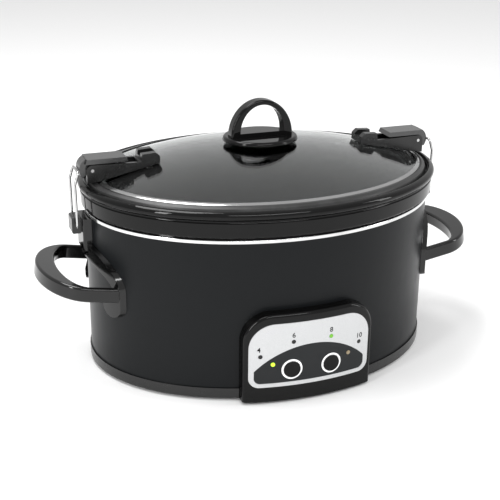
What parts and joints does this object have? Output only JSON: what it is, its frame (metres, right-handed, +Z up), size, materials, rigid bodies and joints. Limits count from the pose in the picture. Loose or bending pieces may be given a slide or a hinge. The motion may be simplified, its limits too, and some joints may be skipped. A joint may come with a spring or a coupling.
{
  "type": "slow cooker",
  "caption": "Oval countertop slow cooker with a lift-out glazed stoneware pot, wire-latched domed glass lid, side handles and a push-button control panel.",
  "frame": {"origin": "middle of the oval body on the table plane", "axes": "+X along the long side towards the right-hand handle, -Y towards the control panel, +Z up"},
  "size_m": [0.4498, 0.2801, 0.252],
  "materials": {
    "charcoal_enamel": "satin charcoal enamel on sheet steel",
    "bright_trim": "bright polished trim band",
    "well_steel": "plain aluminised sheet steel",
    "mica_band": "mica-backed metal heating band",
    "glass_fibre": "woven glass-fibre wrap",
    "satin_black_plastic": "satin black moulded plastic",
    "plated_steel": "zinc-plated sheet steel",
    "foot_rubber": "black rubber",
    "screw_steel": "plated screws and pins",
    "gloss_black_plastic": "glossy black heat-proof plastic",
    "silver_panel": "fine-grained silver panel",
    "dark_overlay": "dark grey satin overlay",
    "white_print": "white ring",
    "component_black": "black component bodies",
    "dark_lens": "unlit dark lens",
    "green_lens": "lit green lens",
    "bright_green_lens": "lit bright green lens",
    "amber_lens": "unlit amber lens",
    "component_white": "pale component bodies",
    "circuit_board": "green solder mask",
    "relay_blue": "blue relay case",
    "capacitor_yellow": "yellow film capacitor",
    "terminal_green": "green terminal block",
    "ribbon_grey": "grey ribbon cable",
    "lead_silicone": "pale high-temperature lead",
    "bright_aluminium": "plain aluminium",
    "spring_wire": "plated spring wire",
    "black_glaze": "glossy black glazed stoneware",
    "clear_glass": "clear tempered glass",
    "rolled_steel": "rolled stainless steel rim",
    "gasket_rubber": "black silicone seal",
    "button_black": "black push button"
  },
  "bodies": {
    "base": {"outer_housing": "charcoal_enamel", "rim_band": "bright_trim", "liner_pan": "well_steel", "heater_band": "mica_band", "heater_wrap": "glass_fibre", "base_ring": "satin_black_plastic", "bottom_cover": "plated_steel", "feet": "foot_rubber", "cover_screws": "screw_steel", "tie_bolt": "screw_steel", "tie_nut": "screw_steel", "control_bezel": "gloss_black_plastic", "bezel_screws": "screw_steel", "faceplate": "silver_panel", "keypad_overlay": "dark_overlay", "button_rings": "white_print", "tact_switches": "component_black", "timer_lenses": "dark_lens", "timer_lens_lit": "green_lens", "power_lens": "bright_green_lens", "warm_lens": "amber_lens", "led_emitters": "component_white", "control_board": "circuit_board", "board_screws": "screw_steel", "microcontroller": "component_black", "power_board": "circuit_board", "power_board_screws": "screw_steel", "relay": "relay_blue", "dropper_capacitor": "capacitor_yellow", "terminal_block": "terminal_green", "ribbon_cable": "ribbon_grey", "heater_leads": "lead_silicone", "temperature_sensor": "bright_aluminium", "sensor_spring": "screw_steel", "thermal_fuse": "component_white", "cord_grommet": "foot_rubber", "handle_screws": "screw_steel", "anchor_screws": "screw_steel", "handle_right": "gloss_black_plastic", "handle_left": "gloss_black_plastic", "bail_anchor_right": "satin_black_plastic", "bail_anchor_left": "satin_black_plastic"},
    "bail_right": {"wire_bail_right": "spring_wire"},
    "bail_left": {"wire_bail_left": "spring_wire"},
    "pot": {"stoneware_pot": "black_glaze"},
    "lid": {"lid_glass": "clear_glass", "lid_rim": "rolled_steel", "lid_gasket": "gasket_rubber", "knob": "gloss_black_plastic", "knob_washer": "gasket_rubber", "knob_screw": "screw_steel", "lever_pins": "screw_steel", "bracket_screws": "screw_steel", "latch_bracket_right": "satin_black_plastic", "latch_bracket_left": "satin_black_plastic"},
    "lever_right": {"latch_lever_right": "satin_black_plastic"},
    "lever_left": {"latch_lever_left": "satin_black_plastic"},
    "select_button": {"select_button": "button_black"},
    "off_button": {"off_button": "button_black"}
  },
  "joints": [
    {"name": "stoneware_lift", "type": "slide", "parent": "base", "child": "pot", "axis": [0, 0, 1], "range_m": [0, 0.17]},
    {"name": "lid_lift", "type": "slide", "parent": "pot", "child": "lid", "axis": [0, 0, 1], "range_m": [0, 0.12]},
    {"name": "lever_right_flip", "type": "hinge", "parent": "lid", "child": "lever_right", "pos_m": [0.168, 0, 0.1995], "axis": [0, 1, 0], "range_deg": [0, 85]},
    {"name": "lever_left_flip", "type": "hinge", "parent": "lid", "child": "lever_left", "pos_m": [-0.168, 0, 0.1995], "axis": [0, -1, 0], "range_deg": [0, 85]},
    {"name": "bail_right_swing", "type": "hinge", "parent": "base", "child": "bail_right", "pos_m": [0.1845, 0, 0.146], "axis": [0, 1, 0], "range_deg": [0, 122]},
    {"name": "bail_left_swing", "type": "hinge", "parent": "base", "child": "bail_left", "pos_m": [-0.1845, 0, 0.146], "axis": [0, -1, 0], "range_deg": [0, 122]},
    {"name": "select_button_press", "type": "slide", "parent": "base", "child": "select_button", "axis": [0, 1, 0], "range_m": [0, 0.001], "stiffness_N_per_m": 400, "springref_m": -0.0005},
    {"name": "off_button_press", "type": "slide", "parent": "base", "child": "off_button", "axis": [0, 1, 0], "range_m": [0, 0.001], "stiffness_N_per_m": 400, "springref_m": -0.0005}
  ]
}
